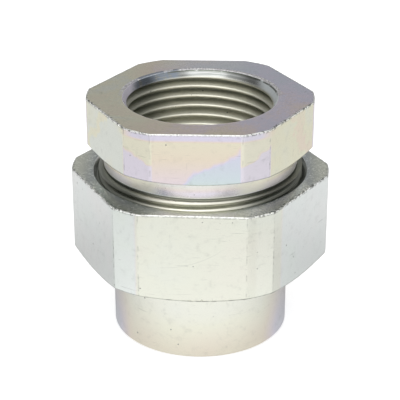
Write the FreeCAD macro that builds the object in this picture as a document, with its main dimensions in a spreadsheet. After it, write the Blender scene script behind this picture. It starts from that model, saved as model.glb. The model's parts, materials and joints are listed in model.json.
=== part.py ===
"""A three-piece union for one-inch rigid metal conduit, in plated steel.

A hexagonal hub at the top and a round hub at the bottom each take a threaded conduit. The round hub has a
shoulder that is trapped inside the union nut, and the hexagonal hub screws into the nut from above, so that
turning the nut draws the two hubs together on a flat ground seat with a short spigot.

The frame has +Z up along the common axis, and its origin at the centre of the round hub's foot.
Every piece is turned from bar: a turned blank, a bore, and six flats milled on the two that take a spanner.
The screw threads are drawn plain: the conduit threads at their crests, and the union thread at mid-depth.
"""

import FreeCAD, Part
import os
import Sketcher

doc = FreeCAD.newDocument("conduit_union")

# Driving dimensions, in millimetres and degrees
SIZES = [
    ("conduit_bore", 30.0, "diameter over the crests of a conduit thread"),
    ("conduit_thread_depth", 1.65, "from a conduit thread's crest to its root"),
    ("conduit_thread_length", 17.5, "from a hub's end to the conduit stop"),
    ("entry_rim", 1.1, "how far the steep entry chamfer opens beyond the crests"),
    ("entry_depth", 1.6, "how far down the steep entry chamfer ends"),
    ("entry_dish", 0.9, "width of the shallow dish round the entry chamfer"),
    ("entry_dish_depth", 0.15, "depth of that dish at the chamfer"),
    ("conduit_stop", 2.3, "how far a conduit stop stands in from the crests, to the smooth wireway"),
    ("throat_chamfer", 0.8, "chamfer on the wireway's edge at each conduit stop"),
    ("hub_wall", 2.0, "wall outside a conduit thread's root at the round hub"),
    ("round_hub_reach", 16.45, "length of round hub that shows below the nut"),
    ("foot_chamfer", 0.5, "chamfer on the round hub's foot"),
    ("shoulder_width", 1.65, "how far the shoulder stands out from the round hub"),
    ("shoulder_height", 4.5, "thickness of the shoulder"),
    ("shoulder_clearance", 0.27, "from the shoulder to the nut's thread crests"),
    ("seat_width", 3.3, "width of the flat ground seat on the shoulder"),
    ("spigot_height", 2.5, "height of the spigot above the seat"),
    ("spigot_chamfer", 0.5, "chamfer that leads the spigot in"),
    ("spigot_clearance", 0.1, "radial gap between the spigot and its socket"),
    ("spigot_end_gap", 0.3, "gap above the spigot's end"),
    ("union_thread_depth", 0.86, "from the union thread's crest to its root"),
    ("union_thread_clearance", 0.08, "radial play in the union thread"),
    ("union_thread_lead_in", 0.8, "chamfer at the end of the hexagonal hub's thread"),
    ("union_thread_relief", 0.45, "height of the groove between that thread and the collar"),
    ("web_clearance", 0.15, "radial gap between the nut's web and the round hub"),
    ("nut_web", 5.55, "thickness of the nut's web under the shoulder"),
    ("nut_height", 19.25, "height of the nut"),
    ("nut_relief_depth", 0.27, "how much deeper than the thread the relief is cut"),
    ("nut_relief_height", 2.4, "height of the thread relief above the web"),
    ("nut_mouth", 1.07, "how far the nut's mouth opens beyond its thread's root"),
    ("nut_wall", 3.05, "wall between the thread relief and a flat"),
    ("nut_corner", 2.25, "how far the nut's turned corners stand beyond its flats"),
    ("nut_foot_inset", 0.78, "how far inside the flats the nut's foot is turned"),
    ("nut_angle", -1.6, "how far the nut stands turned from the hexagonal hub"),
    ("collar_gap", 1.5, "from the nut's top to the collar"),
    ("collar_inset", 0.3, "how far the collar is under the nut's thread crests"),
    ("collar_height", 3.1, "height of the collar"),
    ("hex_overhang", 1.48, "how far the hexagon's flats stand beyond the collar"),
    ("hex_corner", 1.8, "how far the hexagon's turned corners stand beyond its flats"),
    ("hex_height", 11.3, "from the collar to the top face"),
    ("chamfer_angle", 21.0, "slope of the turned chamfers under the hexagon and the nut"),
    ("edge_break", 0.25, "broken edge round the turned corners at the top"),
]
FLAT_COUNT = 6
MILL_MARGIN = 5.0  # how far the milling cut runs past the blank
UP = FreeCAD.Vector(0, 0, 1)

sheet = doc.addObject("Spreadsheet::Sheet", "Sizes")
for row, (alias, value, meaning) in enumerate(SIZES, start=1):
    sheet.set(f"A{row}", alias)
    sheet.set(f"B{row}", str(value))
    sheet.setAlias(f"B{row}", alias)
    sheet.set(f"C{row}", meaning)
doc.recompute()


def size(alias):
    """The expression that reads one driving dimension."""
    return f"Sizes.{alias}"


def plus(*terms):
    """The expression for a sum of expressions."""
    return "(" + " + ".join(terms) + ")"


def minus(first, *others):
    """The expression for the first expression less the others."""
    return "(" + " - ".join([first, *others]) + ")"


def slope_rise(outer, inner):
    """The expression for the height that a turned chamfer gains between two radii."""
    return f"({minus(outer, inner)} * tan({size('chamfer_angle')} * 1 deg))"


def value_of(expression):
    """The present value of an expression, as a plain number."""
    return float(sheet.evalExpression(expression))


AXIS = "0"  # a radius on the axis
GROUND = "0"  # the height of the round hub's foot

# Radii, from the wireway outwards
CREST = f"({size('conduit_bore')} / 2)"
THROAT = minus(CREST, size("conduit_stop"))
ENTRY_RIM = plus(CREST, size("entry_rim"))
ENTRY_EDGE = plus(ENTRY_RIM, size("entry_dish"))
ROUND_HUB = plus(CREST, size("conduit_thread_depth"), size("hub_wall"))
WEB_BORE = plus(ROUND_HUB, size("web_clearance"))
SHOULDER = plus(ROUND_HUB, size("shoulder_width"))
SPIGOT = minus(SHOULDER, size("seat_width"))
SOCKET = plus(SPIGOT, size("spigot_clearance"))
UNION_CREST = plus(SHOULDER, size("shoulder_clearance"))
UNION_ROOT = plus(UNION_CREST, size("union_thread_depth"))
UNION_MALE = plus(UNION_CREST, f"{size('union_thread_depth')} / 2")
UNION_FEMALE = plus(UNION_MALE, size("union_thread_clearance"))
MOUTH = plus(UNION_ROOT, size("nut_mouth"))
RELIEF = plus(UNION_ROOT, size("nut_relief_depth"))
NUT_FLAT = plus(RELIEF, size("nut_wall"))
NUT_CORNER = plus(NUT_FLAT, size("nut_corner"))
NUT_FOOT = minus(NUT_FLAT, size("nut_foot_inset"))
COLLAR = minus(UNION_CREST, size("collar_inset"))
HEX_FLAT = plus(COLLAR, size("hex_overhang"))
HEX_CORNER = plus(HEX_FLAT, size("hex_corner"))

# Heights, from the foot upwards
Z_NUT = size("round_hub_reach")
Z_SHOULDER = plus(Z_NUT, size("nut_web"))
Z_SEAT = plus(Z_SHOULDER, size("shoulder_height"))
Z_SPIGOT = plus(Z_SEAT, size("spigot_height"))
Z_SOCKET = plus(Z_SPIGOT, size("spigot_end_gap"))
Z_NUT_TOP = plus(Z_NUT, size("nut_height"))
Z_COLLAR = plus(Z_NUT_TOP, size("collar_gap"))
Z_HEX = plus(Z_COLLAR, size("collar_height"))
Z_TOP = plus(Z_HEX, size("hex_height"))


def new_body(label):
    body = doc.addObject("PartDesign::Body", label)
    body.Label = label
    return body


def origin_feature(body, role):
    """One of the body's own origin planes or axes."""
    return next(o for o in body.Origin.OriginFeatures if o.Role == role)


def sketch_on(body, plane, name):
    sketch = body.newObject("Sketcher::SketchObject", name)
    sketch.AttachmentSupport = (origin_feature(body, plane), [""])
    sketch.MapMode = "FlatFace"
    return sketch


def closed_outline(sketch, points):
    """Draws a closed outline whose corners are pairs of expressions, and ties each corner to them."""
    places = [FreeCAD.Vector(value_of(across), value_of(up), 0) for across, up in points]
    count = len(points)
    for i in range(count):
        sketch.addGeometry(Part.LineSegment(places[i], places[(i + 1) % count]), False)
    start, end, root_point, root_axis, upright_axis = 1, 2, (-1, 1), -1, -2
    for i in range(count):
        sketch.addConstraint(Sketcher.Constraint("Coincident", i, end, (i + 1) % count, start))
    for i, (across, up) in enumerate(points):
        for kind, expression, axis in (("DistanceX", across, upright_axis), ("DistanceY", up, root_axis)):
            if expression == "0":
                sketch.addConstraint(Sketcher.Constraint("PointOnObject", i, start, axis))
                continue
            here = value_of(expression)
            number = sketch.addConstraint(Sketcher.Constraint(kind, *root_point, i, start, here))
            sketch.setExpression(f"Constraints[{number}]", expression)


def turned(body, name, points):
    """A blank turned about Z. Each point is a radius and a height."""
    sketch = sketch_on(body, "XZ_Plane", name + "_profile")
    closed_outline(sketch, points)
    blank = body.newObject("PartDesign::Revolution", name)
    blank.Profile = sketch
    blank.ReferenceAxis = (sketch, ["V_Axis"])
    blank.Angle = 360
    doc.recompute()
    return blank


def bored(body, name, points):
    """A bore turned out of the body about Z. Each point is a radius and a height."""
    before = body.Shape.Volume
    sketch = sketch_on(body, "XZ_Plane", name + "_profile")
    closed_outline(sketch, points)
    bore = body.newObject("PartDesign::Groove", name)
    bore.Profile = sketch
    bore.ReferenceAxis = (sketch, ["V_Axis"])
    bore.Angle = 360
    doc.recompute()
    if not body.Shape.Volume < before:
        raise RuntimeError(f"{name} cut nothing")
    return bore


def milled_flats(body, name, flat, corner, top, depth):
    """Six flats: one cut, outside the flat's distance from the axis, repeated round the axis."""
    before = body.Shape.Volume
    reach = plus(corner, f"{MILL_MARGIN}")
    sketch = sketch_on(body, "XY_Plane", name + "_outline")
    sketch.AttachmentOffset = FreeCAD.Placement(FreeCAD.Vector(0, 0, value_of(top)), FreeCAD.Rotation())
    sketch.setExpression("AttachmentOffset.Base.z", top)
    closed_outline(
        sketch,
        [(f"-{reach}", f"-{reach}"), (reach, f"-{reach}"), (reach, f"-{flat}"), (f"-{reach}", f"-{flat}")],
    )
    cut = body.newObject("PartDesign::Pocket", name + "_cut")
    cut.Profile = sketch
    cut.Type = 0
    cut.Length = value_of(depth)
    cut.setExpression("Length", depth)
    doc.recompute()
    ring = body.newObject("PartDesign::PolarPattern", name)
    ring.Originals = [cut]
    ring.Axis = (origin_feature(body, "Z_Axis"), [""])
    ring.Angle = 360
    ring.Occurrences = FLAT_COUNT
    body.Tip = ring
    doc.recompute()
    if not body.Shape.Volume < before:
        raise RuntimeError(f"{name} cut nothing")
    return ring


def circle_edge(feature, radius, height):
    """The name of the full circle of that radius at that height on a feature's shape."""
    near = 1e-4
    for number, edge in enumerate(feature.Shape.Edges, start=1):
        curve = edge.Curve
        if not isinstance(curve, Part.Circle) or not edge.isClosed():
            continue
        if abs(curve.Radius - value_of(radius)) < near and abs(curve.Center.z - value_of(height)) < near:
            return f"Edge{number}"
    raise RuntimeError(f"{feature.Name} has no circle of radius {value_of(radius)} at {value_of(height)}")


def chamfered(body, name, base, width, radius, height):
    """Chamfers the circular edge of that radius at that height."""
    chamfer = body.newObject("PartDesign::Chamfer", name)
    chamfer.Base = (base, [circle_edge(base, radius, height)])
    chamfer.Size = value_of(width)
    chamfer.setExpression("Size", width)
    body.Tip = chamfer
    doc.recompute()
    return chamfer


def conduit_socket(height_at):
    """A conduit socket's wall, from its mouth to its stop. height_at(depth) is the height at a depth."""
    stop = height_at(size("conduit_thread_length"))
    return [
        (ENTRY_EDGE, height_at("0")),
        (ENTRY_RIM, height_at(size("entry_dish_depth"))),
        (CREST, height_at(size("entry_depth"))),
        (CREST, stop),
        (THROAT, stop),
    ]


def make_round_hub():
    """The lower hub: a plain barrel, the shoulder that the nut traps, and the spigot above the seat."""
    body = new_body("round_hub")
    foot = size("foot_chamfer")
    lead = size("spigot_chamfer")
    turned(body, "round_hub_blank", [
        (AXIS, GROUND),
        (minus(ROUND_HUB, foot), GROUND),
        (ROUND_HUB, foot),
        (ROUND_HUB, Z_SHOULDER),
        (SHOULDER, Z_SHOULDER),
        (SHOULDER, Z_SEAT),
        (SPIGOT, Z_SEAT),
        (SPIGOT, minus(Z_SPIGOT, lead)),
        (minus(SPIGOT, lead), Z_SPIGOT),
        (AXIS, Z_SPIGOT),
    ])
    socket = conduit_socket(lambda depth: depth)
    bore = bored(body, "round_hub_bore", [(AXIS, GROUND), *socket, (THROAT, Z_SPIGOT), (AXIS, Z_SPIGOT)])
    chamfered(body, "round_hub_throat", bore, size("throat_chamfer"), *socket[-1])
    return body


def make_union_nut():
    """The nut: its web bears up under the shoulder, and its thread takes the hexagonal hub."""
    body = new_body("union_nut")
    edge = size("edge_break")
    turned(body, "nut_blank", [
        (AXIS, Z_NUT),
        (NUT_FOOT, Z_NUT),
        (NUT_CORNER, plus(Z_NUT, slope_rise(NUT_CORNER, NUT_FOOT))),
        (NUT_CORNER, minus(Z_NUT_TOP, edge)),
        (minus(NUT_CORNER, edge), Z_NUT_TOP),
        (AXIS, Z_NUT_TOP),
    ])
    z_relief = plus(Z_SHOULDER, size("nut_relief_height"))
    bored(body, "nut_bore", [
        (AXIS, Z_NUT),
        (WEB_BORE, Z_NUT),
        (WEB_BORE, Z_SHOULDER),
        (RELIEF, Z_SHOULDER),
        (RELIEF, z_relief),
        (UNION_FEMALE, plus(z_relief, minus(RELIEF, UNION_FEMALE))),
        (UNION_FEMALE, minus(Z_NUT_TOP, minus(MOUTH, UNION_FEMALE))),
        (MOUTH, Z_NUT_TOP),
        (AXIS, Z_NUT_TOP),
    ])
    milled_flats(body, "nut_flats", NUT_FLAT, NUT_CORNER, Z_NUT_TOP, size("nut_height"))
    body.Placement = FreeCAD.Placement(FreeCAD.Vector(), FreeCAD.Rotation(UP, value_of(size("nut_angle"))))
    body.setExpression("Placement.Rotation.Angle", f"{size('nut_angle')} * 1 deg")
    return body


def make_hex_hub():
    """The upper hub: hexagon, collar, union thread, and the socket that the spigot enters."""
    body = new_body("hex_hub")
    edge = size("edge_break")
    lead = size("union_thread_lead_in")
    z_relief = minus(Z_COLLAR, size("union_thread_relief"))
    turned(body, "hex_hub_blank", [
        (AXIS, Z_SEAT),
        (minus(UNION_MALE, lead), Z_SEAT),
        (UNION_MALE, plus(Z_SEAT, lead)),
        (UNION_MALE, z_relief),
        (UNION_CREST, z_relief),
        (UNION_CREST, Z_COLLAR),
        (COLLAR, Z_COLLAR),
        (COLLAR, Z_HEX),
        (HEX_CORNER, plus(Z_HEX, slope_rise(HEX_CORNER, COLLAR))),
        (HEX_CORNER, minus(Z_TOP, edge)),
        (minus(HEX_CORNER, edge), Z_TOP),
        (AXIS, Z_TOP),
    ])
    socket = conduit_socket(lambda depth: minus(Z_TOP, depth))
    spigot_way = [(AXIS, Z_SEAT), (SOCKET, Z_SEAT), (SOCKET, Z_SOCKET), (THROAT, Z_SOCKET)]
    bore = bored(body, "hex_hub_bore", [*spigot_way, *reversed(socket), (AXIS, Z_TOP)])
    chamfered(body, "hex_hub_throat", bore, size("throat_chamfer"), *socket[-1])
    milled_flats(body, "hex_flats", HEX_FLAT, HEX_CORNER, Z_TOP, size("hex_height"))
    return body


bodies = [make_round_hub(), make_union_nut(), make_hex_hub()]
doc.recompute()

for item in doc.Objects:
    if "Invalid" in item.State or "Error" in item.State:
        raise RuntimeError(f"{item.Label} failed: {item.State}")

os.makedirs("parts", exist_ok=True)
for body in bodies:
    shape = body.Shape
    if shape.isNull() or not shape.isValid() or len(shape.Solids) != 1:
        raise RuntimeError(f"{body.Label} isn't one valid solid")
    shape.exportStep(f"parts/{body.Label}.step")
    box = shape.BoundBox
    print(f"{body.Label}: {shape.Volume:.0f} mm3, {box.XLength:.2f} x {box.YLength:.2f} mm,", end=" ")
    print(f"from {box.ZMin:.2f} to {box.ZMax:.2f} mm up")
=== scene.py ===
# %% [markdown]
# # A conduit union in plated steel
# Three pieces of turned bar: a hexagonal hub on top, a round hub below, and the union nut that draws
# them together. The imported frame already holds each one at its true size, with plain walls where the
# threads are. Here each piece is turned, milled and threaded again with its fine edges, and then plated.

import json
import math
import random

import bmesh
import bpy
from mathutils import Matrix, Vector


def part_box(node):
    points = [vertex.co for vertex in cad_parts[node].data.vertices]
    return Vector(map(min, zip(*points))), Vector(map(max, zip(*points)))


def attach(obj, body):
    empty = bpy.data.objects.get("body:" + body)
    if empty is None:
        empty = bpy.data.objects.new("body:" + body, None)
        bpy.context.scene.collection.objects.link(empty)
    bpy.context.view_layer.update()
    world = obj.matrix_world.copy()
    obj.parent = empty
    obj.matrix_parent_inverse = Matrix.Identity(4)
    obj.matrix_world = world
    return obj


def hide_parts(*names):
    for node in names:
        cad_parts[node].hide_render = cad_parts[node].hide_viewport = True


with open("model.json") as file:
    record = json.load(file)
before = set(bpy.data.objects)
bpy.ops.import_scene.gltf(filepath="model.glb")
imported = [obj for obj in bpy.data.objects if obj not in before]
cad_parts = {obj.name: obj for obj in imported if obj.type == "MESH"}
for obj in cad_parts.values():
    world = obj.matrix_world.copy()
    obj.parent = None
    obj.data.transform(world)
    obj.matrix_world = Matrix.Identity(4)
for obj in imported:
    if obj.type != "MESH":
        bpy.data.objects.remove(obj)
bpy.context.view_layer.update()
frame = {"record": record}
MM = 0.001

# %% [markdown]
# The main sizes come from the frame, so the dressed pieces stay where the plain ones are. All lengths
# in this file are in millimetres until they reach Blender, which works in metres.

# %% Sizes from the frame


def box_mm(node):
    """A node's lowest and highest corners, in millimetres."""
    low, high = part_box(node)
    return [v / MM for v in low], [v / MM for v in high]


hex_low, hex_high = box_mm("hex_hub")
nut_low, nut_high = box_mm("union_nut")
round_high = box_mm("round_hub")[1]
mounts = {mount["name"]: mount for mount in frame["record"]["mounts"]}
upper_socket = mounts["hex_hub_socket"]

CREST = upper_socket["dims"]["r_mm"]
SOCKET_MIDDLE = upper_socket["pos_m"][2] / MM
SOCKET_HALF = upper_socket["dims"]["length_mm"] / 2
TOP = hex_high[2]
SEAT = hex_low[2]
HEX_FLAT = hex_high[1]
HEX_CORNER = hex_high[0]
NUT_TOP = nut_high[2]
NUT_FOOT = nut_low[2]
NUT_CORNER = nut_high[0]
SHOULDER = round_high[0]
SPIGOT_TOP = round_high[2]
print("conduit crests", CREST, "top", round(TOP, 2), "nut", round(NUT_FOOT, 2), "to", round(NUT_TOP, 2))

# %% [markdown]
# The camera stands a little above the piece and to the right of square, with a long lens, as a
# catalogue photographer would place it.

# %% Camera
CAMERA_AZIMUTH = math.radians(2.07)
CAMERA_ELEVATION = math.radians(24.85)
CAMERA_DISTANCE = 298.7
AIM = Vector((-0.05, 0, 27.78)) * MM

back = Vector((
    math.sin(CAMERA_AZIMUTH) * math.cos(CAMERA_ELEVATION),
    -math.cos(CAMERA_AZIMUTH) * math.cos(CAMERA_ELEVATION),
    math.sin(CAMERA_ELEVATION),
))
bpy.ops.object.select_all(action="DESELECT")
bpy.ops.object.camera_add(location=AIM + back * CAMERA_DISTANCE * MM)
camera = bpy.context.object
camera.name = "camera"
camera.rotation_euler = (-back).to_track_quat("-Z", "Y").to_euler()
camera.data.sensor_width = 36
camera.data.lens = 126.24
camera.data.clip_start = 0.01
bpy.context.scene.camera = camera
bpy.context.scene.view_settings.view_transform = "Standard"
print("camera at", [round(v, 4) for v in camera.location])

# %% [markdown]
# A material is a chain of nodes. This helper adds one node, sets its plain values and links the rest,
# so that each material below reads as a short list.

# %% Node helper


def add_node(tree, kind, inputs=(), **settings):
    """Adds a node. inputs maps a socket to a value, or to the output socket that feeds it."""
    made = tree.nodes.new(kind)
    for name, value in settings.items():
        setattr(made, name, value)
    for socket, value in dict(inputs).items():
        if isinstance(value, bpy.types.NodeSocket):
            tree.links.new(value, made.inputs[socket])
        else:
            made.inputs[socket].default_value = value
    return made


def set_ramp(ramp_node, stops):
    """Gives a colour ramp its stops: pairs of a place from 0 to 1 and a colour."""
    ramp = ramp_node.color_ramp
    while len(ramp.elements) < len(stops):
        ramp.elements.new(0.5)
    for element, (place, colour) in zip(ramp.elements, stops):
        element.position = place
        element.color = (*colour, 1)


# %% [markdown]
# ## Studio
# Plated steel is a mirror with a skin, so most of what it shows is the room. A small product like this
# stands on a white table with one broad light over the camera. The wall behind the table and the room
# at both sides stay darker, and that is what the level faces and the gap under the hexagon pick up.
# The world is written by direction: a ramp from front to back for the walls, and bright overhead. The
# room stands turned a little, so that the light end is nearer on the right.

# %% World
ROOM_TURN = math.radians(8)
CEILING_LEVEL = 1.05


def calc(tree, operation, *values):
    """One Math node. Each value is a number or a socket."""
    return add_node(tree, "ShaderNodeMath", dict(enumerate(values)), operation=operation).outputs[0]


def ease(tree, value, start, end):
    """0 at start and 1 at end, with a soft change between."""
    limits = {"Value": value, "From Min": start, "From Max": end}
    return add_node(tree, "ShaderNodeMapRange", limits, interpolation_type="SMOOTHSTEP").outputs[0]


def grey(value):
    """A grey as a colour."""
    return (value, value, value)


world = bpy.data.worlds.new("studio")
bpy.context.scene.world = world
world.use_nodes = True
tree = world.node_tree
tree.nodes.clear()
direction = add_node(tree, "ShaderNodeTexCoord").outputs["Generated"]
upward = add_node(tree, "ShaderNodeSeparateXYZ", {"Vector": direction}).outputs["Z"]
room_axis = (-math.sin(ROOM_TURN), math.cos(ROOM_TURN), 0)
backwards = add_node(tree, "ShaderNodeVectorMath", {0: direction, 1: room_axis}, operation="DOT_PRODUCT")
back_share = calc(tree, "MULTIPLY_ADD", backwards.outputs["Value"], 0.5, 0.5)
walls = add_node(tree, "ShaderNodeValToRGB", {"Fac": back_share})
set_ramp(walls, [
    (0.00, grey(0.95)),
    (0.14, grey(0.92)),
    (0.29, grey(0.84)),
    (0.36, grey(0.58)),
    (0.43, grey(0.17)),
    (0.50, grey(0.12)),
    (0.60, grey(0.22)),
    (0.80, grey(0.32)),
    (0.92, grey(0.42)),
    (1.00, grey(0.44)),
])
ceiling = ease(tree, upward, 0.58, 0.74)
horizon = ease(tree, upward, 0.10, 0.0)
around = calc(tree, "MAXIMUM", ceiling, horizon)
wall_to_ceiling = {0: around, 6: walls.outputs["Color"], 7: (*grey(CEILING_LEVEL), 1)}
room_colour = add_node(tree, "ShaderNodeMix", wall_to_ceiling, data_type="RGBA")
room = add_node(tree, "ShaderNodeBackground", {"Color": room_colour.outputs[2], "Strength": 1.0})
paper = add_node(tree, "ShaderNodeBackground", {"Color": (1, 1, 1, 1), "Strength": 1.0})
seen = add_node(tree, "ShaderNodeLightPath").outputs["Is Camera Ray"]
choice = add_node(tree, "ShaderNodeMixShader", {0: seen, 1: room.outputs[0], 2: paper.outputs[0]})
add_node(tree, "ShaderNodeOutputWorld", {"Surface": choice.outputs[0]})

# %% [markdown]
# The table is white card. It glows a little to the camera and in reflections, which keeps it white
# there, and its matte part still takes the piece's shadow. In reflections the glow fades with distance,
# and beside and behind the foot, where the light from the front doesn't reach.

# %% Table
TABLE_SIZE = 3.0
CARD_LEVEL = 0.60
GLOW_SEEN = 0.66
GLOW_REFLECTED = 0.60

bpy.ops.object.select_all(action="DESELECT")
bpy.ops.mesh.primitive_plane_add(size=TABLE_SIZE, location=(0, 0, 0))
table = bpy.context.object
table.name = "table"
card = bpy.data.materials.new("white_card")
card.use_nodes = True
tree = card.node_tree
tree.nodes.clear()
rays = add_node(tree, "ShaderNodeLightPath").outputs
place = add_node(tree, "ShaderNodeTexCoord").outputs["Object"]
parts = add_node(tree, "ShaderNodeSeparateXYZ", {"Vector": place}).outputs
from_axis = add_node(tree, "ShaderNodeVectorMath", {0: place}, operation="LENGTH").outputs["Value"]
to_side = ease(tree, calc(tree, "ABSOLUTE", parts["X"]), 0.01, 0.07)
sheltered = calc(tree, "MULTIPLY", ease(tree, parts["Y"], -0.04, 0.02), ease(tree, from_axis, 0.10, 0.03))
reflected = calc(tree, "MULTIPLY_ADD", ease(tree, from_axis, 0.02, 0.13), -0.20, GLOW_REFLECTED)
reflected = calc(tree, "MULTIPLY_ADD", to_side, -0.12, reflected)
reflected = calc(tree, "MULTIPLY_ADD", sheltered, -0.48, reflected)
mirrored = calc(tree, "MAXIMUM", rays["Is Glossy Ray"], rays["Is Transmission Ray"])
mirrored_glow = calc(tree, "MULTIPLY", mirrored, reflected)
glow_level = calc(tree, "MULTIPLY_ADD", rays["Is Camera Ray"], GLOW_SEEN, mirrored_glow)
matte = add_node(tree, "ShaderNodeBsdfDiffuse", {"Color": (*grey(CARD_LEVEL), 1)})
glow = add_node(tree, "ShaderNodeEmission", {"Color": (1, 1, 1, 1), "Strength": glow_level})
both = add_node(tree, "ShaderNodeAddShader", {0: matte.outputs[0], 1: glow.outputs[0]})
add_node(tree, "ShaderNodeOutputMaterial", {"Surface": both.outputs[0]})
table.data.materials.append(card)

# %% [markdown]
# One broad lamp hangs high over the front, a little to the left, like the softbox over a product
# table. Its large face gives soft edges to the light and a faint, soft shadow.

# %% Lamp
LAMP_PLACE = (-0.10, -0.42, 0.78)
LAMP_TARGET = Vector((0, 0, 0.03))

bpy.ops.object.light_add(type="AREA", location=LAMP_PLACE)
lamp = bpy.context.object
lamp.name = "lamp"
lamp.data.shape = "RECTANGLE"
lamp.data.size = 0.7
lamp.data.size_y = 0.5
lamp.data.energy = 1.6
lamp.rotation_euler = (LAMP_TARGET - lamp.location).to_track_quat("-Z", "Y").to_euler()

# %% [markdown]
# ## Turning a blank
# Every piece starts as bar in a lathe. The same is done here by hand: a ring of edges is added on the
# axis, then extruded from corner to corner of the section and scaled to each new radius, until it
# meets itself. That leaves a closed wall with no seam to mend.

# %% Turning
AROUND = 192


def edit(piece):
    """Opens a piece alone in edit mode."""
    bpy.ops.object.select_all(action="DESELECT")
    bpy.context.view_layer.objects.active = piece
    piece.select_set(True)
    bpy.ops.object.mode_set(mode="EDIT")


def done():
    """Leaves edit mode."""
    bpy.ops.object.mode_set(mode="OBJECT")


def turn_blank(name, section):
    """A ring-shaped blank, whose section is a closed list of radii and heights."""
    radius, z = section[0]
    bpy.ops.object.select_all(action="DESELECT")
    bpy.ops.mesh.primitive_circle_add(vertices=AROUND, radius=radius * MM, location=(0, 0, z * MM))
    blank = bpy.context.object
    blank.name = name
    bpy.ops.object.transform_apply(location=True, rotation=True, scale=True)
    edit(blank)
    bpy.ops.mesh.select_all(action="SELECT")
    for next_radius, next_z in [*section[1:], section[0]]:
        bpy.ops.mesh.extrude_edges_move(TRANSFORM_OT_translate={"value": (0, 0, (next_z - z) * MM)})
        grow = next_radius / radius
        bpy.ops.transform.resize(value=(grow, grow, 1), center_override=(0, 0, 0))
        radius, z = next_radius, next_z
    bpy.ops.mesh.select_all(action="SELECT")
    bpy.ops.mesh.remove_doubles(threshold=1e-6)
    bpy.ops.mesh.normals_make_consistent(inside=False)
    done()
    print(name, "turned:", len(blank.data.polygons), "faces")
    return blank


# %% [markdown]
# ## Milling the flats
# Six flats are cut round the turned blank. Where a flat meets the cone turned under the head, the edge
# comes out as the familiar curve of a nut. Bisecting the mesh by a plane and filling the cut does
# exactly what the cutter does.

# %% Milling
FLAT_COUNT = 6


def mill_flats(piece, flat, turned):
    """Cuts six flats at a distance from the axis, then turns the piece by an angle in degrees."""
    edit(piece)
    for k in range(FLAT_COUNT):
        angle = math.radians(-90 + 360 / FLAT_COUNT * k)
        outward = Vector((math.cos(angle), math.sin(angle), 0))
        bpy.ops.mesh.select_all(action="SELECT")
        bpy.ops.mesh.bisect(plane_co=outward * flat * MM, plane_no=outward, use_fill=True, clear_outer=True,
                            threshold=1e-6)
    bpy.ops.mesh.select_all(action="SELECT")
    bpy.ops.mesh.remove_doubles(threshold=0.03 * MM)
    done()
    piece.rotation_euler.z = math.radians(turned)
    bpy.ops.object.transform_apply(location=True, rotation=True, scale=True)


# %% [markdown]
# Real edges are never sharp: the tool leaves a fine flat and the plating rounds it. A bevel on every
# edge that turns more than 25 degrees makes the thin bright lines that the eye reads as metal.

# %% Breaking the edges
SHARP_EDGE = 25


def apply_modifier(piece, modifier):
    """Makes a modifier's result the piece's own mesh."""
    bpy.context.view_layer.objects.active = piece
    bpy.ops.object.modifier_apply(modifier=modifier.name)


def break_edges(piece, width):
    """Bevels the sharp edges by a width in millimetres."""
    bevel = piece.modifiers.new("broken_edges", "BEVEL")
    bevel.width = width * MM
    bevel.segments = 3
    bevel.limit_method = "ANGLE"
    bevel.angle_limit = math.radians(SHARP_EDGE)
    bevel.use_clamp_overlap = False
    apply_modifier(piece, bevel)


# %% [markdown]
# ## Cutting a thread
# A tap or a die leaves a groove along a helix. The groove's section is drawn as a closed outline, a
# Screw modifier sweeps it, and a Boolean cuts it out. The flanks flare where they reach the crests,
# because a used and plated thread has round crests, and those catch the light. The bar is drawn in
# at its ends, so that the groove runs out instead of stopping dead.

# %% Threading
THREAD_STEPS = 96
FLARE_STEPS = 3
FLANK = math.tan(math.radians(30))
CREST_LEFT = 0.02
MERGE = 0.002
SLIVER = 0.001


def groove_outline(crest, root, pitch, root_flat, crest_round, over):
    """A thread groove's section: radii and half widths from the root to just past the crest.

    root_flat is the flat at the bottom, crest_round how deep the round of the crest reaches, and over
    how far the tool stands out of the metal."""
    outward = math.copysign(1, root - crest)
    depth = abs(root - crest)
    straight = root_flat / 2 + (depth - crest_round) * FLANK
    widest = pitch / 2 - CREST_LEFT
    half = [(root, root_flat / 2)]
    for step in range(FLARE_STEPS + 1):
        share = step / FLARE_STEPS
        flare = (widest - straight) * (1 - math.cos(math.radians(90 * share)))
        half.append((crest + outward * crest_round * (1 - share), straight + flare))
    half.append((crest - outward * over, widest))
    return half


def thread_bar(name, outline, start, pitch, turns, fades=()):
    """A helical bar the shape of a thread's groove.

    start is the groove's height at azimuth 0. fades lists pairs of heights: at the first the groove is
    closed up to the crest, and from the second on it is whole."""
    corners = [(r, start + w) for r, w in outline] + [(r, start - w) for r, w in reversed(outline)]
    bpy.ops.object.select_all(action="DESELECT")
    bpy.ops.mesh.primitive_circle_add(vertices=len(corners), radius=MM, fill_type="NGON")
    bar = bpy.context.object
    bar.name = name
    for point, (radius, z) in zip(bar.data.vertices, corners):
        point.co = (radius * MM, 0, z * MM)
    helix = bar.modifiers.new("helix", "SCREW")
    helix.screw_offset = pitch * MM
    helix.iterations = turns
    helix.steps = THREAD_STEPS
    helix.render_steps = THREAD_STEPS
    apply_modifier(bar, helix)
    crest = outline[-2][0] * MM
    for point in bar.data.vertices:
        radius = math.hypot(point.co.x, point.co.y)
        is_deep = (radius - crest) * (outline[0][0] * MM - crest) > 0
        for closed, whole in fades:
            share = min(max((point.co.z / MM - closed) / (whole - closed), 0), 1)
            if is_deep:
                grow = (crest + (radius - crest) * share) / radius
                point.co.x *= grow
                point.co.y *= grow
                radius *= grow
    edit(bar)
    bpy.ops.mesh.select_mode(type="VERT")
    bpy.ops.mesh.select_all(action="DESELECT")
    bpy.ops.mesh.select_non_manifold()
    bpy.ops.mesh.fill_holes(sides=0)
    bpy.ops.mesh.select_all(action="SELECT")
    bpy.ops.mesh.normals_make_consistent(inside=False)
    done()
    return bar


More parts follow.
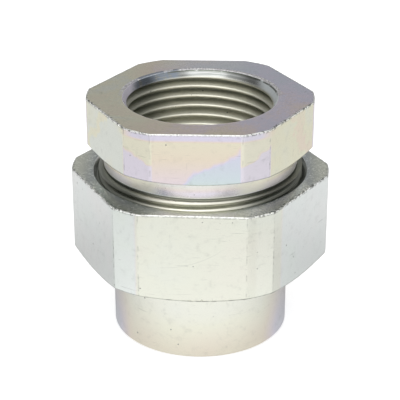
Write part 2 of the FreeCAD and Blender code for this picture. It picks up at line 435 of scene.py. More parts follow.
def cut_away(piece, tool):
    """Cuts a tool's shape out of a piece and throws the tool away.

    A closed mesh has no open edges, so their count is printed after each cut."""
    cut = piece.modifiers.new("cut", "BOOLEAN")
    cut.operation = "DIFFERENCE"
    cut.solver = "EXACT"
    cut.object = tool
    apply_modifier(piece, cut)
    bpy.data.objects.remove(tool)
    edit(piece)
    bpy.ops.mesh.select_all(action="SELECT")
    bpy.ops.mesh.remove_doubles(threshold=MERGE * MM)
    bpy.ops.mesh.dissolve_degenerate(threshold=SLIVER * MM)
    done()
    shape = bmesh.new()
    shape.from_mesh(piece.data)
    faces = len(shape.faces)
    open_edges = sum(not edge.is_manifold for edge in shape.edges)
    volume = round(shape.calc_volume() / MM**3)
    shape.free()
    print(piece.name, "cut:", faces, "faces,", open_edges, "open edges,", volume, "mm3")


# %% [markdown]
# ## Knocks
# These parts are plated in a tumbling barrel with hundreds of others, and the milled edges come out
# nicked. Each nick here is a real dent: small stones are set along an edge and cut out of it in one
# Boolean. Where they lie is random, with a fixed seed, so that they lie in the same places each run.

# %% Knocks
NUT_SEED = 5
HEX_SEED = 5
random_source = random.Random(NUT_SEED)


def outline_radius(angle, flat, corner, turned):
    """How far a milled outline is from the axis at an angle. All angles are in degrees."""
    step = 360 / FLAT_COUNT
    off_flat = (angle + 90 - turned + step / 2) % step - step / 2
    return min(corner, flat / math.cos(math.radians(off_flat)))


def knock_edges(piece, spots):
    """Dents an edge. spots lists places on it in millimetres, each with the largest size of its stones."""
    bpy.ops.object.select_all(action="DESELECT")
    stones = []
    for (x, y, z), largest in spots:
        size = largest * random_source.uniform(0.4, 1)
        tilt = [random_source.uniform(0, math.pi) for _ in range(3)]
        outward = 1 + size * random_source.uniform(0.1, 0.6) / math.hypot(x, y)
        lift = size * random_source.uniform(-0.1, 0.5)
        bpy.ops.mesh.primitive_ico_sphere_add(
            subdivisions=2, radius=size * MM, rotation=tilt,
            location=(x * outward * MM, y * outward * MM, (z + lift) * MM),
        )
        stone = bpy.context.object
        stone.scale = [random_source.uniform(0.6, 1.3) for _ in range(3)]
        stones.append(stone)
    for stone in stones:
        stone.select_set(True)
    bpy.ops.object.join()
    bpy.ops.object.transform_apply(location=True, rotation=True, scale=True)
    cut_away(piece, bpy.context.object)


def edge_spots(count, flat, corner, turned, z, largest):
    """Places round a milled outline at one height, at uneven distances but clear of each other."""
    spots = []
    for k in range(count):
        angle = 360 / count * (k + random_source.uniform(0.3, 0.7))
        radius = outline_radius(angle, flat, corner, turned)
        spots.append(((
            radius * math.cos(math.radians(angle)),
            radius * math.sin(math.radians(angle)),
            z,
        ), largest))
    return spots


# %% [markdown]
# ## The conduit socket
# Both hubs have the same socket: a shallow dish and a steep chamfer lead in, the thread runs to a
# stop, and the stop's edge is rounded so that it doesn't cut the wires. It is written once, as depths
# from the mouth.

# %% Conduit socket
INCH = 25.4
THREAD_PITCH = INCH / 11.5
THREAD_TURNS = 7
THREAD_ROOT = CREST + 1.55
ENTRY_DEPTH = TOP - (SOCKET_MIDDLE + SOCKET_HALF)
STOP_DEPTH = TOP - (SOCKET_MIDDLE - SOCKET_HALF)
ENTRY_RIM = CREST + 1.1
ENTRY_EDGE = ENTRY_RIM + 0.9
DISH_DEPTH = 0.15
THROAT = CREST - 2.3
STOP_ROUND = 1.2
STOP_STEPS = 4

conduit_groove = groove_outline(CREST, THREAD_ROOT, THREAD_PITCH, root_flat=0.24, crest_round=0.45, over=0.15)


def conduit_socket():
    """The socket's wall from its mouth inwards, as radii and depths."""
    wall = [(ENTRY_EDGE, 0), (ENTRY_RIM, DISH_DEPTH), (CREST, ENTRY_DEPTH), (CREST, STOP_DEPTH)]
    for step in range(STOP_STEPS + 1):
        angle = math.radians(90 * step / STOP_STEPS)
        wall.append((
            THROAT + STOP_ROUND * (1 - math.sin(angle)),
            STOP_DEPTH + STOP_ROUND * (1 - math.cos(angle)),
        ))
    return wall


# %% [markdown]
# ## The round hub
# Below, a plain barrel. Hidden in the nut it has the shoulder that the nut pulls on, the flat ground
# seat, and a spigot. Its socket is in its foot, so here the mouth's depth 0 is the height 0, and the
# tap's groove fades in just inside the mouth and out again before the stop.

# %% Round hub
BARREL = CREST + 3.65
FOOT_CHAMFER = 0.5
SHOULDER_FOOT = 22.0
SPIGOT = SHOULDER - 3.3
SPIGOT_CHAMFER = 0.5
LOWER_GROOVE_START = 0.4

round_hub = turn_blank("round_hub_threaded", [
    *conduit_socket(),
    (THROAT, SPIGOT_TOP),
    (SPIGOT - SPIGOT_CHAMFER, SPIGOT_TOP),
    (SPIGOT, SPIGOT_TOP - SPIGOT_CHAMFER),
    (SPIGOT, SEAT),
    (SHOULDER, SEAT),
    (SHOULDER, SHOULDER_FOOT),
    (BARREL, SHOULDER_FOOT),
    (BARREL, FOOT_CHAMFER),
    (BARREL - FOOT_CHAMFER, 0),
])
break_edges(round_hub, width=0.12)
lower_tap = thread_bar("socket_tap", conduit_groove, LOWER_GROOVE_START, THREAD_PITCH, THREAD_TURNS,
                       fades=[(0.8, 2.3), (16.6, 14.0)])
cut_away(round_hub, lower_tap)

# %% [markdown]
# ## The union nut
# The nut is milled from 54 mm bar. Its thread has 16 turns to the inch, and the web at the bottom
# catches the round hub's shoulder. One ridge's height at the right is known, and the nut's thread and
# the hub's are both placed from it, half a pitch apart, so that they mesh.

# %% Union nut
UNION_PITCH = INCH / 16
UNION_CREST = 21.36
UNION_ROOT = 20.52
UNION_PLAY = 0.1
NUT_TURNED = -1.6
NUT_FLAT = 24.75
NUT_INSET = 0.78
MOUTH = 22.5
RELIEF = 21.7
RELIEF_TOP = 24.4
WEB_BORE = BARREL + 0.15
CHAMFER_SLOPE = math.tan(math.radians(21))
HEAD_BEVEL = 0.16
RIDGE_AT_RIGHT = 36.95

nut_minor = UNION_ROOT + UNION_PLAY
nut_rise = (NUT_CORNER - (NUT_FLAT - NUT_INSET)) * CHAMFER_SLOPE
union_nut = turn_blank("union_nut_threaded", [
    (WEB_BORE, NUT_FOOT),
    (WEB_BORE, SHOULDER_FOOT),
    (RELIEF, SHOULDER_FOOT),
    (RELIEF, RELIEF_TOP),
    (nut_minor, RELIEF_TOP + RELIEF - nut_minor),
    (nut_minor, NUT_TOP - (MOUTH - nut_minor)),
    (MOUTH, NUT_TOP),
    (NUT_CORNER, NUT_TOP),
    (NUT_CORNER, NUT_FOOT + nut_rise),
    (NUT_FLAT - NUT_INSET, NUT_FOOT),
])
mill_flats(union_nut, NUT_FLAT, NUT_TURNED)
break_edges(union_nut, width=HEAD_BEVEL)
knock_edges(union_nut, [
    *edge_spots(80, NUT_FLAT, NUT_CORNER, NUT_TURNED, NUT_TOP, largest=0.26),
    *edge_spots(40, NUT_FLAT, NUT_CORNER, NUT_TURNED, NUT_FOOT + 0.5, largest=0.3),
])
nut_groove = groove_outline(nut_minor, UNION_CREST + UNION_PLAY, UNION_PITCH,
                            root_flat=0.4, crest_round=0.1, over=0.1)
nut_tap = thread_bar("nut_tap", nut_groove, RIDGE_AT_RIGHT - 8 * UNION_PITCH, UNION_PITCH, turns=9)
cut_away(union_nut, nut_tap)

# %% [markdown]
# ## The hexagonal hub
# The one piece that shows all its work: hexagon, cone, collar, relief and thread outside, and the
# socket in its top. The conduit thread is placed by the height of its first groove at the back of the
# socket, which is a quarter turn on from azimuth 0.

# %% Hexagonal hub
COLLAR = 20.27
COLLAR_FOOT = 37.2
COLLAR_TOP = 40.3
UNDERCUT_LOW = COLLAR_FOOT - 0.25
UNDERCUT_HIGH = COLLAR_FOOT + 0.2
UNDERCUT = COLLAR - 0.15
LEAD_IN = 0.8
SPIGOT_SOCKET = SPIGOT + 0.1
SOCKET_TOP = SPIGOT_TOP + 0.3
FIRST_GROOVE_BEHIND = 49.06

hex_rise = (HEX_CORNER - COLLAR) * CHAMFER_SLOPE
hex_hub = turn_blank("hex_hub_threaded", [
    *[(radius, TOP - depth) for radius, depth in conduit_socket()],
    (THROAT, SOCKET_TOP),
    (SPIGOT_SOCKET, SOCKET_TOP),
    (SPIGOT_SOCKET, SEAT),
    (UNION_CREST - LEAD_IN, SEAT),
    (UNION_CREST, SEAT + LEAD_IN),
    (UNION_CREST, COLLAR_FOOT),
    (COLLAR, COLLAR_FOOT),
    (COLLAR, COLLAR_TOP),
    (HEX_CORNER, COLLAR_TOP + hex_rise),
    (HEX_CORNER, TOP),
])
mill_flats(hex_hub, HEX_FLAT, 0)
break_edges(hex_hub, width=HEAD_BEVEL)
random_source.seed(HEX_SEED)
knock_edges(hex_hub, edge_spots(110, HEX_FLAT, HEX_CORNER, 0, TOP, largest=0.24))
upper_groove_start = FIRST_GROOVE_BEHIND - 6.25 * THREAD_PITCH
upper_tap = thread_bar("socket_tap", conduit_groove, upper_groove_start, THREAD_PITCH, THREAD_TURNS,
                       fades=[(50.8, 49.4), (35.0, 37.6)])
cut_away(hex_hub, upper_tap)
relief_tool = turn_blank("relief_tool", [
    (UNDERCUT, UNDERCUT_LOW),
    (UNION_CREST + 1, UNDERCUT_LOW),
    (UNION_CREST + 1, UNDERCUT_HIGH),
    (UNDERCUT, UNDERCUT_HIGH),
])
cut_away(hex_hub, relief_tool)
union_groove = groove_outline(UNION_CREST, UNION_ROOT, UNION_PITCH,
                              root_flat=0.14, crest_round=0.38, over=0.1)
die = thread_bar("die", union_groove, RIDGE_AT_RIGHT - 6.5 * UNION_PITCH, UNION_PITCH, turns=7)
cut_away(hex_hub, die)

# %% [markdown]
# ## Shading
# The big flats must stay flat and the turned faces round. Edges over 32 degrees are kept sharp, and
# normals weighted by face area keep a flat's shading even right up to its bevel.

# %% Shading
KEPT_SHARP = 32
PIECES = {"round_hub": round_hub, "union_nut": union_nut, "hex_hub": hex_hub}

for piece in PIECES.values():
    bpy.ops.object.select_all(action="DESELECT")
    bpy.context.view_layer.objects.active = piece
    piece.select_set(True)
    bpy.ops.object.shade_smooth_by_angle(angle=math.radians(KEPT_SHARP))
    even = piece.modifiers.new("even_flats", "WEIGHTED_NORMAL")
    even.keep_sharp = True
    apply_modifier(piece, even)
    print(piece.name, len(piece.data.vertices), "points")

# %% [markdown]
# ## Plating
# The zinc has a clear chromate film, thin enough to show interference colours. As it thickens they go
# from silver through straw, peach, lilac, pale blue and green to straw again. One slowly changing number
# stands for the thickness, and a ramp turns it into those colours in their true order. On a real part
# the film is thickest where it drained last, so the number follows the height and a slanting line,
# and a noise makes it wander.

# %% Film colours
FILM = [
    (0.00, (0.735, 0.760, 0.700)),
    (0.14, (0.780, 0.765, 0.600)),
    (0.30, (0.800, 0.710, 0.585)),
    (0.42, (0.785, 0.690, 0.700)),
    (0.52, (0.720, 0.680, 0.800)),
    (0.62, (0.660, 0.680, 0.790)),
    (0.74, (0.640, 0.720, 0.760)),
    (0.86, (0.670, 0.770, 0.680)),
    (1.00, (0.780, 0.770, 0.550)),
]
UNDER_EDGE = 0.32


class Metal:
    """A new material with the values that its patterns read: places in mm, and how level a face is.

    A share is a value from 0 to 1 that says how much of something there is at a place."""

    def __init__(self, name):
        self.material = bpy.data.materials.new(name)
        self.material.use_nodes = True
        self.tree = self.material.node_tree
        self.tree.nodes.clear()
        coordinates = add_node(self.tree, "ShaderNodeTexCoord").outputs
        in_mm = {0: coordinates["Object"], "Scale": 1 / MM}
        self.place = add_node(self.tree, "ShaderNodeVectorMath", in_mm, operation="SCALE").outputs[0]
        parts = add_node(self.tree, "ShaderNodeSeparateXYZ", {"Vector": self.place}).outputs
        self.x, self.y, self.z = parts["X"], parts["Y"], parts["Z"]
        squares = self.calc("MULTIPLY_ADD", self.x, self.x, self.calc("MULTIPLY", self.y, self.y))
        self.radius = self.calc("SQRT", squares)
        normal = add_node(self.tree, "ShaderNodeSeparateXYZ", {"Vector": coordinates["Normal"]}).outputs
        self.level = self.calc("ABSOLUTE", normal["Z"])

    def calc(self, operation, *values):
        return calc(self.tree, operation, *values)

    def ease(self, value, start, end):
        return ease(self.tree, value, start, end)

    def times(self, *shares):
        """The product of some shares: 1 only where all of them are."""
        product = shares[0]
        for share in shares[1:]:
            product = self.calc("MULTIPLY", product, share)
        return product

    def plus(self, base, *terms):
        """A base plus some terms, each a value and its factor."""
        for value, factor in terms:
            base = self.calc("MULTIPLY_ADD", value, factor, base)
        return base

    def away(self, value, centre):
        """How far a value is from a centre."""
        return self.calc("ABSOLUTE", self.calc("SUBTRACT", value, centre))

    def noise(self, scale, detail=2.0, roughness=0.5, distortion=0.0, stretch=(1, 1, 1)):
        """A noise in millimetres. A large stretch on an axis makes it fine along that axis."""
        vector = self.place
        if stretch != (1, 1, 1):
            scaled = {0: vector, 1: stretch}
            vector = add_node(self.tree, "ShaderNodeVectorMath", scaled, operation="MULTIPLY").outputs[0]
        values = {"Vector": vector, "Scale": scale, "Detail": detail, "Roughness": roughness,
                  "Distortion": distortion}
        return add_node(self.tree, "ShaderNodeTexNoise", values).outputs["Fac"]

    def number(self, share, first, second):
        """A number that goes from the first value to the second as share goes from 0 to 1."""
        return add_node(self.tree, "ShaderNodeMix", {0: share, 2: first, 3: second}).outputs[0]

    def colour(self, share, first, second):
        """The first colour where share is 0, and the second where it is 1."""
        values = {0: share, 6: first, 7: second}
        return add_node(self.tree, "ShaderNodeMix", values, data_type="RGBA").outputs[2]

    def over(self, colour, share, strength, coat):
        """A colour with a coat of another over it, which is as strong as said where share is 1."""
        return self.colour(self.times(share, strength), colour, coat)

    def film(self, thickness):
        """The film's colour at a thickness."""
        ramp = add_node(self.tree, "ShaderNodeValToRGB", {"Fac": thickness})
        set_ramp(ramp, FILM)
        return ramp.outputs["Color"]

    def outline(self, flat, corner, turned):
        """How far a place is inside the flats, and inside the turned corners."""
        farthest = 0.0
        for k in range(FLAT_COUNT // 2):
            angle = math.radians(turned + 90 + 360 / FLAT_COUNT * k)
            across = self.calc("MULTIPLY", self.y, math.sin(angle))
            along = self.plus(across, (self.x, math.cos(angle)))
            farthest = self.calc("MAXIMUM", farthest, self.calc("ABSOLUTE", along))
        return self.calc("SUBTRACT", flat, farthest), self.calc("SUBTRACT", corner, self.radius)

    def top_edge(self, outline, height):
        """1 on a milled outline's edge at a height, falling to 0 a little way from it."""
        inside = self.calc("MINIMUM", *outline)
        return self.ease(self.calc("MAXIMUM", inside, self.away(self.z, height)), 0.7, 0.15)

    def under_edge(self, height):
        """1 on a thin, broken line along the walls, just below a top edge."""
        line = self.ease(self.away(self.z, height - UNDER_EDGE), 0.16, 0.08)
        return self.times(line, self.ease(self.level, 0.5, 0.3), self.ease(self.noise(0.8, 2.0), 0.42, 0.55))

    def upright_edges(self, outline):
        """A broken line of 1 on the upright edges between the flats and the turned corners."""
        line = self.ease(self.calc("MAXIMUM", *outline), 0.09, 0.03)
        return self.times(line, self.ease(self.noise(0.45, 2.0), 0.46, 0.60))

    def cone_edge(self, inner_radius, foot):
        """1 on the walls just above the cone turned under a head."""
        rise = self.calc("MULTIPLY", self.calc("SUBTRACT", self.radius, inner_radius), CHAMFER_SLOPE)
        above = self.calc("SUBTRACT", self.calc("SUBTRACT", self.z, foot), rise)
        return self.times(self.ease(above, 0.28, 0.14), self.ease(self.level, 0.8, 0.5))


# %% [markdown]
# ## Wear
# The same small marks lie on all three pieces: a fine grain from the plating, pits, hair scratches that
# run level or upright, stains, and the burred edges. Pits are the cells of a Voronoi pattern, only some
# of which are taken. Scratches are a noise that is stretched along one axis and cut off high, so that
# only its narrow ridges are left.

# %% Wear
# This dark colour is real dirt in pits, scratches and nicks, and also painted shade in recesses and along
# edges.
DIRT_AND_SHADE = (0.13, 0.14, 0.12, 1)
# This bright colour is worn metal on edges and knocks, and also a painted highlight on the collar's rim.
WEAR_AND_HIGHLIGHT = (0.95, 0.96, 0.93, 1)
BUMP_UNIT = 0.02


def finish_metal(metal, colour, rough, grain_share, edges=0.0, nicked=1.0, relief=0.0):
    """Adds pits, scratches, grain and worn edges to a colour and a roughness, and ends the material.

    edges is 1 where an edge is burred, nicked is how many nicks it has there, and relief is extra
    height, in bump units."""
    calc, ease, noise, times = metal.calc, metal.ease, metal.noise, metal.times
    grain = noise(3.2, 4.0, 0.6)
    cells = add_node(metal.tree, "ShaderNodeTexVoronoi", {"Vector": metal.place, "Scale": 0.55})
    taken = add_node(metal.tree, "ShaderNodeSeparateColor", {"Color": cells.outputs["Color"]}).outputs["Red"]
    pit = calc("LESS_THAN", cells.outputs["Distance"], times(ease(taken, 0.30, 1.0), 0.10))
    level_marks = ease(noise(1.0, 2.0, 0.6, 0.6, (0.22, 0.22, 5.0)), 0.67, 0.73)
    upright_marks = ease(noise(1.0, 2.0, 0.6, 0.6, (4.0, 4.0, 0.25)), 0.70, 0.78)
    scratch = times(calc("MAXIMUM", level_marks, upright_marks), ease(metal.level, 0.5, 0.2))
    nick = times(edges, nicked, ease(noise(1.7, 2.0, 0.7), 0.50, 0.57))
    stain = times(ease(noise(0.55, 4.0, 0.7), 0.50, 0.80), 0.16)
    speckle = times(ease(noise(2.4, 3.0, 0.7), 0.48, 0.68), ease(metal.level, 0.8, 0.95))
    stain = calc("MAXIMUM", stain, times(speckle, 0.14))
    marks = calc("MAXIMUM", times(pit, 0.75), times(scratch, 0.25))
    marks = calc("MAXIMUM", marks, times(nick, 0.85))
    rubbed = metal.over(colour, ease(edges, 0.75, 0.95), 0.8, WEAR_AND_HIGHLIGHT)
    marked = metal.colour(calc("MAXIMUM", marks, stain), rubbed, DIRT_AND_SHADE)
    wavy = metal.plus(0.75, (grain, 0.5))
    height = calc("ADD", calc("SUBTRACT", times(grain, grain_share), marks), relief)
    height = metal.plus(height, (nick, -2.0))
    bump = add_node(metal.tree, "ShaderNodeBump",
                    {"Height": height, "Strength": 0.5, "Distance": BUMP_UNIT * MM})
    shader = add_node(metal.tree, "ShaderNodeBsdfPrincipled", {
        "Base Color": marked,
        "Metallic": 1.0,
        "Roughness": times(rough, wavy),
        "Normal": bump.outputs[0],
    })
    add_node(metal.tree, "ShaderNodeOutputMaterial", {"Surface": shader.outputs[0]})


# %% [markdown]
# The hexagonal hub shows the film best. Each face drained on its own, so each has its own colours: the
# front goes from peach above to pink at the lower left and pale blue at the lower right, with a slanting
# border between them; the turned corners go from straw to lilac; the flats at the sides are nearly
# silver, with a straw tinge on the right. A lilac line follows the top edge, fading at the side flats.

# %% Hexagonal hub: film on the head
BORDER_HEIGHT = 42.6
BORDER_SLOPE = 0.84
CORNER_BORDER_HEIGHT = 46.6
SIDE_FLAT = 14.0
LILAC = 0.53

m = Metal("plate_hex_hub")
wander = m.calc("SUBTRACT", m.noise(0.10, 2.5, 0.5, 0.6), 0.5)
wobble = m.calc("SUBTRACT", m.noise(0.45, 2.0), 0.5)
aside = m.calc("ABSOLUTE", m.x)
border = m.plus(BORDER_HEIGHT, (m.z, -1.0), (m.x, BORDER_SLOPE), (wobble, 2.0), (wander, 7.0))
on_front = m.plus(0.21, (m.calc("SUBTRACT", 49.5, m.z), 0.028), (m.ease(border, -0.9, 1.1), 0.33))
from_corner = m.calc("SUBTRACT", aside, 11.7)
corner_border = m.plus(CORNER_BORDER_HEIGHT, (m.z, -1.0), (from_corner, 0.5), (wobble, 2.0), (wander, 3.0))
on_corner = m.plus(0.17, (m.ease(corner_border, -0.5, 0.5), 0.33))
pink_slant = m.plus(aside, (m.calc("SUBTRACT", m.z, 46.5), 0.35), (wander, 8.0), (wobble, 3.0))
pink_band = m.times(m.ease(pink_slant, 19.8, 20.6), m.ease(pink_slant, 22.2, 21.3))
on_side = m.plus(0.02, (m.ease(m.x, -5, 5), 0.10), (pink_band, 0.15), (wander, 0.35))
corner = m.ease(m.radius, HEX_CORNER - 0.22, HEX_CORNER - 0.08)
sides = m.number(m.ease(aside, SIDE_FLAT, SIDE_FLAT + 0.3), on_front, on_side)
sides = m.number(corner, sides, on_corner)
top_line = m.times(m.ease(m.z, TOP - 1.9, TOP - 1.1), m.ease(aside, 16, 12))
sides = m.number(top_line, sides, LILAC)
back_right = m.times(m.ease(m.y, 0, 15), m.ease(m.x, -8, 4))
mottle = m.calc("SUBTRACT", m.noise(1.6, 3.0, 0.7), 0.5)
on_top = m.plus(0.40, (wander, 0.6), (m.ease(m.x, 2, -20), -0.26), (back_right, 0.18))
on_top = m.plus(on_top, (m.ease(m.x, 5, 18), 0.08), (mottle, 0.30))
in_mouth = m.ease(m.radius, ENTRY_EDGE + 0.3, ENTRY_EDGE + 0.1)
is_top = m.calc("MAXIMUM", m.ease(m.z, TOP - 0.12, TOP - 0.04), in_mouth)
on_collar = m.plus(0.06, (wander, 0.3), (m.ease(m.z, COLLAR_TOP, COLLAR_TOP - 2.0), 0.43))
thickness = m.number(is_top, sides, on_top)
thickness = m.number(m.ease(m.z, COLLAR_TOP + 0.6, COLLAR_TOP + 0.3), thickness, on_collar)
colour = m.film(thickness)

# %% [markdown]
# The collar is bluish along its top at the front and pale lilac below, and toward its sides it turns
# cream and less polished. The back of the head's top is greyer than the rest, and the turned corners
# are rubbed a little brighter. Each of these is a coat laid over the film where its share says so.

# %% Hexagonal hub: collar, back and corners
COLLAR_LOW_COLOUR = (0.90, 0.90, 0.96, 1)
COLLAR_HIGH_COLOUR = (0.86, 0.84, 0.98, 1)
CREAM = (0.97, 0.94, 0.79, 1)
BACK_COLOUR = (0.78, 0.82, 0.80, 1)

collar_low = m.times(m.ease(m.z, COLLAR_TOP - 1.0, COLLAR_TOP - 2.0), m.ease(m.level, 0.5, 0.2))
colour = m.over(colour, collar_low, 0.3, COLLAR_LOW_COLOUR)
collar_high = m.times(m.ease(m.z, COLLAR_TOP - 1.8, COLLAR_TOP - 0.9),
                      m.ease(m.z, COLLAR_TOP + 0.1, COLLAR_TOP - 0.05), m.ease(aside, 14, 7))
colour = m.over(colour, collar_high, 0.36, COLLAR_HIGH_COLOUR)
collar_side = m.times(m.ease(m.z, UNDERCUT_HIGH, UNDERCUT_HIGH + 0.1),
                      m.ease(m.z, COLLAR_TOP + 0.3, COLLAR_TOP), m.ease(aside, 6, 10))
colour = m.over(colour, collar_side, m.number(m.ease(aside, 12, 15), 0.85, 0.45), CREAM)
back_top = m.times(is_top, m.ease(m.y, 14, 18), m.ease(aside, 12, 6))
colour = m.over(colour, back_top, 0.5, BACK_COLOUR)
colour = m.over(colour, corner, m.number(m.ease(m.x, -5, 5), 0.10, 0.20), WEAR_AND_HIGHLIGHT)

# %% [markdown]
# In the socket the tool left rings on the chamfer, and painted shade makes a dark line where the
# chamfer meets the dish. At both ends of the visible arc the chamfer is pale instead, and a dark
# reflection is painted on the dish at the back left. The threads are straw-coloured, with painted
# shade in their roots near the mouth and toward their left and right sides.

# %% Hexagonal hub: socket
RING_DARK = (0.24, 0.25, 0.24, 1)
RING_LIGHT = (0.40, 0.41, 0.40, 1)
CHAMFER_LEFT = (0.76, 0.73, 0.81, 1)
CHAMFER_RIGHT = (0.74, 0.78, 0.79, 1)
DISH_DULL = (0.62, 0.60, 0.63, 1)
DISH_BRIGHT = (0.97, 0.97, 0.97, 1)
SLATE = (0.24, 0.28, 0.34, 1)
THREAD_COLOUR = (0.85, 0.84, 0.73, 1)
ROOT_COLOUR = (0.40, 0.40, 0.34, 1)

in_dish = m.ease(m.radius, ENTRY_EDGE - 0.05, ENTRY_EDGE - 0.2)
in_chamfer = m.ease(m.radius, ENTRY_RIM + 0.03, ENTRY_RIM - 0.03)
rings = m.noise(1.0, 1.0, 0.5, 0.0, (0.1, 0.1, 6.0))
chamfer_colour = m.colour(m.ease(rings, 0.35, 0.65), RING_DARK, RING_LIGHT)
at_left = m.ease(m.x, -13.0, -15.0)
chamfer_colour = m.colour(at_left, chamfer_colour, CHAMFER_LEFT)
at_right = m.ease(m.x, 11.0, 13.5)
chamfer_colour = m.colour(at_right, chamfer_colour, CHAMFER_RIGHT)
# Painted reflection: a dark slate patch on the dish at the back left.
slate = m.times(m.ease(m.y, 4, 6), m.ease(m.x, -15, -13), m.ease(m.x, -4.5, -6))
slate = m.times(slate, m.ease(m.noise(0.5, 2.0, 0.5, 0.5), 0.35, 0.50), in_dish)
dish_colour = m.colour(m.ease(m.noise(2.5, 2.0), 0.45, 0.60), DISH_DULL, DISH_BRIGHT)
colour = m.over(colour, in_dish, m.ease(m.y, -2, 5), dish_colour)
colour = m.colour(in_chamfer, colour, chamfer_colour)
colour = m.over(colour, slate, 0.8, SLATE)
# Painted shade: a broken dark line along the rim where the chamfer meets the dish.
rim_line = m.ease(m.away(m.radius, ENTRY_RIM - 0.10), 0.18, 0.08)
rim_line = m.times(rim_line, m.ease(m.x, -10, -6), m.ease(m.y, 0, 3), m.ease(m.noise(0.9, 2.0), 0.30, 0.45))
colour = m.over(colour, rim_line, 0.9, DIRT_AND_SHADE)
in_thread = m.times(m.ease(m.radius, THREAD_ROOT + 0.25, THREAD_ROOT + 0.15),
                    m.ease(m.z, TOP - 1.1, TOP - 1.9), m.ease(m.z, SEAT + 5, SEAT + 6))
# Painted shade: the thread roots are darker, most near the mouth.
root_colour = m.colour(m.ease(m.z, TOP - 5, TOP - 12), ROOT_COLOUR, THREAD_COLOUR)
thread_colour = m.colour(m.ease(m.radius, CREST + 0.6, THREAD_ROOT + 0.1), THREAD_COLOUR, root_colour)
# Painted shade: the threads darken toward the left and right of the socket.
shaded = m.plus(0.0, (m.ease(m.x, 8, 14), 0.35), (m.ease(m.x, -6, -13), 0.55))
thread_colour = m.colour(shaded, thread_colour, DIRT_AND_SHADE)
colour = m.colour(in_thread, colour, thread_colour)

# %% [markdown]
# The union thread under the collar is duller than the collar, with painted shade in its roots and at
# both sides. Painted shade darkens the narrow undercut above it too, and over that a painted highlight
# brightens the collar's lower rim.

# %% Hexagonal hub: union thread
UNION_CREST_COLOUR = (0.77, 0.76, 0.66, 1)
UNION_ROOT_COLOUR = (0.66, 0.66, 0.58, 1)

below_collar = m.times(m.ease(m.z, UNDERCUT_HIGH + 0.02, UNDERCUT_HIGH - 0.02),
                       m.ease(m.radius, UNDERCUT - 0.4, UNDERCUT - 0.2))
# Painted shade: the union thread's roots are darker than its crests.
union_depth = m.ease(m.radius, UNION_CREST - 0.1, UNION_ROOT + 0.1)
union_colour = m.colour(union_depth, UNION_CREST_COLOUR, UNION_ROOT_COLOUR)
colour = m.colour(below_collar, colour, union_colour)
# Painted shade in the undercut under the collar.
undercut = m.times(m.ease(m.z, UNDERCUT_LOW + 0.03, UNDERCUT_LOW + 0.08), below_collar)
colour = m.over(colour, undercut, 0.75, DIRT_AND_SHADE)
# Painted shade on the union thread toward both sides.
colour = m.over(colour, m.times(below_collar, m.ease(aside, 6, 14)), 0.85, DIRT_AND_SHADE)
# Painted highlight along the collar's lower rim.
collar_rim_highlight = m.times(m.ease(m.z, UNDERCUT_HIGH + 0.25, UNDERCUT_HIGH + 0.15),
                     m.ease(m.z, UNDERCUT_HIGH - 0.02, UNDERCUT_HIGH + 0.02),
                     m.ease(m.radius, COLLAR - 0.1, COLLAR - 0.05))
colour = m.over(colour, collar_rim_highlight, 0.8, WEAR_AND_HIGHLIGHT)

# %% [markdown]
# Last come the roughness of each part of the hub, and the dark and worn lines along its milled edges.
# The edges at the middle, front and back, are nicked the least.

# %% Hexagonal hub: polish and edges
chamfer_ends = m.times(m.calc("MAXIMUM", at_left, at_right), in_chamfer)
rough = m.number(in_thread, 0.20, 0.50)
rough = m.number(below_collar, rough, 0.40)
rough = m.number(collar_side, rough, 0.38)
rough = m.number(chamfer_ends, rough, 0.50)
outline = m.outline(HEX_FLAT, HEX_CORNER, 0)
on_head = m.ease(m.z, COLLAR_TOP + 0.4, COLLAR_TOP + 0.6)
uprights = m.times(m.upright_edges(outline), on_head)
# Painted shade: a dark line on the head's walls just above the cone under it.
colour = m.over(colour, m.times(m.cone_edge(COLLAR, COLLAR_TOP), on_head), 0.3, DIRT_AND_SHADE)
colour = m.over(colour, uprights, 0.15, DIRT_AND_SHADE)
colour = m.over(colour, m.under_edge(TOP), 0.15, DIRT_AND_SHADE)
edges = m.calc("MAXIMUM", m.top_edge(outline, TOP), m.times(uprights, 0.4))
nicked = m.number(m.ease(aside, 8, 12), 0.30, 1.0)
finish_metal(m, colour, rough, 0.35, edges, nicked)
hex_hub.data.materials.append(m.material)

# %% [markdown]
# The nut and the barrel took a thinner film: near white zinc, with a trace of green or blue on the nut
# and of straw at the barrel's foot. On the nut's turned corners and side flats the zinc is whiter.

# %% Nut: film
ZINC = (0.758, 0.780, 0.715, 1)
BARE_ZINC = (0.86, 0.90, 0.85, 1)
NUT_FILM_SHARE = 0.26

m = Metal("plate_union_nut")
right_corner = m.ease(m.x, 11.5, 12.5)
right_flat = m.ease(m.x, 16.5, 17.5)
left_corner = m.ease(m.x, -11.5, -12.5)
left_flat = m.ease(m.x, -16.5, -17.5)
thickness = m.plus(-0.07, (m.noise(0.09, 2.0, 0.5, 0.5), 0.5), (left_corner, 0.50), (left_flat, -0.12),
                   (right_flat, 0.44))
bare_right = m.plus(0.0, (right_corner, 0.4), (right_flat, 0.4))
bare_left = m.plus(0.0, (left_corner, 0.4), (left_flat, 0.1))
bare = m.colour(m.calc("MAXIMUM", bare_right, bare_left), ZINC, BARE_ZINC)
colour = m.colour(NUT_FILM_SHARE, bare, m.film(thickness))

# %% [markdown]
# The nut's top was faced off dull and is the most knocked of all. A dark reflection is painted on it
# at both sides: grey at the left, and at the right bluish, less dark, and specked with bright metal.

# %% Nut: top face
FACED = (0.72, 0.74, 0.64, 1)
FACED_BLUISH = (0.70, 0.73, 0.78, 1)
PAINTED_REFLECTION_GREY = (0.40, 0.44, 0.45, 1)
PAINTED_REFLECTION_BLUE = (0.37, 0.41, 0.48, 1)

on_top = m.times(m.ease(m.level, 0.8, 0.95), m.ease(m.z, NUT_TOP - 0.1, NUT_TOP - 0.02))
aside = m.calc("ABSOLUTE", m.x)
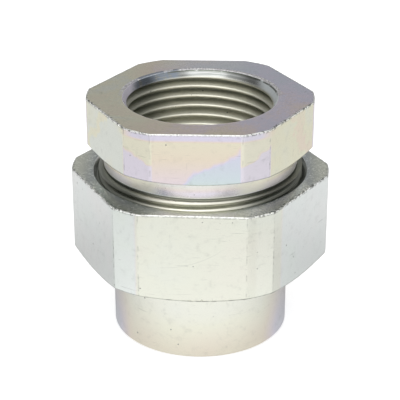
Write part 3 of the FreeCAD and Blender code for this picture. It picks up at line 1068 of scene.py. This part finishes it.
# Painted reflection: the dark patches on the top face at both sides of the thread.
reflection_strength = m.plus(m.number(m.ease(m.x, 2, 10), 1.0, 0.50), (m.ease(m.x, 19, 24), 0.60))
painted_reflection = m.times(m.ease(aside, 5, 10), m.ease(aside, 26, 21), reflection_strength)
bluish = m.times(m.ease(m.x, 8, 12), m.ease(m.x, 24, 20))
top_colour = m.colour(painted_reflection, m.colour(bluish, FACED, FACED_BLUISH), m.colour(bluish, PAINTED_REFLECTION_GREY, PAINTED_REFLECTION_BLUE))
specks = m.times(m.ease(m.noise(3.6, 2.0, 0.7), 0.53, 0.59), bluish)
top_colour = m.over(top_colour, specks, 0.55, WEAR_AND_HIGHLIGHT)
knocked = m.times(m.ease(m.noise(2.2, 2.0, 0.6), 0.57, 0.63), m.number(painted_reflection, 0.35, 1.0))
top_colour = m.over(top_colour, knocked, 0.6, WEAR_AND_HIGHLIGHT)
colour = m.colour(on_top, colour, top_colour)

# %% [markdown]
# One long curved scratch crosses the nut's front, and painted shade lays a broken dark line along its
# foot edge. A scratch that bends is an arc: the places at one distance from a centre, here a little
# above the nut.

# %% Nut: scratch and edges
SCRATCH_CENTRE = (-7.0, 44.0)
SCRATCH_RADIUS = 19.8

from_centre = add_node(m.tree, "ShaderNodeCombineXYZ", {
    "X": m.calc("SUBTRACT", m.x, SCRATCH_CENTRE[0]),
    "Y": m.calc("SUBTRACT", m.z, SCRATCH_CENTRE[1]),
}).outputs[0]
distance = add_node(m.tree, "ShaderNodeVectorMath", {0: from_centre}, operation="LENGTH").outputs["Value"]
long_scratch = m.times(m.ease(m.away(distance, SCRATCH_RADIUS), 0.12, 0.03), m.ease(m.y, -23, -24),
                       m.ease(m.x, -9, -5), m.ease(m.x, 7, 3))
colour = m.over(colour, long_scratch, 0.10, DIRT_AND_SHADE)
outline = m.outline(NUT_FLAT, NUT_CORNER, NUT_TURNED)
patchy = m.number(m.ease(m.noise(0.6, 2.0), 0.40, 0.60), 0.4, 0.85)
uprights = m.upright_edges(outline)
# Painted shade: a broken dark line on the walls just above the nut's foot cone.
colour = m.over(colour, m.cone_edge(NUT_FLAT - NUT_INSET, NUT_FOOT), patchy, DIRT_AND_SHADE)
colour = m.over(colour, uprights, 0.15, DIRT_AND_SHADE)
colour = m.over(colour, m.under_edge(NUT_TOP), 0.35, DIRT_AND_SHADE)
edges = m.calc("MAXIMUM", m.top_edge(outline, NUT_TOP), m.times(uprights, 0.4))
nicked = m.number(m.ease(aside, 9, 14), 0.3, 1.0)
dents = m.times(knocked, on_top, 8.0)
finish_metal(m, colour, 0.22, 0.5, edges, nicked, dents)
union_nut.data.materials.append(m.material)

# %% [markdown]
# The barrel has the plainest skin. It is near white, goes to straw toward its foot, and is a little
# darker at its left. Toward both sides a lilac tint is painted, the sheen of the film seen at a slant.

# %% Barrel plating
BARREL_ZINC = (0.765, 0.775, 0.735, 1)

m = Metal("plate_round_hub")
low_down = m.ease(m.z, 12.0, 1.0)
thickness = m.plus(m.times(m.noise(0.10, 2.0), 0.16), (low_down, 0.18))
# Painted sheen: the film's colour deepens toward both sides, as it looks at a slant.
thickness = m.plus(thickness, (m.ease(m.calc("ABSOLUTE", m.x), 13, 18), 0.34))
colour = m.colour(m.number(low_down, 0.4, 0.7), BARREL_ZINC, m.film(thickness))
colour = m.over(colour, m.ease(m.x, -14.0, -17.5), 0.09, DIRT_AND_SHADE)
finish_metal(m, colour, 0.24, 0.5)
round_hub.data.materials.append(m.material)

# %% [markdown]
# ## Joining the frame
# Each dressed piece stands for its plain solid and rides on the same body.

# %% Frame
for node, piece in PIECES.items():
    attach(piece, node)
    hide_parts(node)
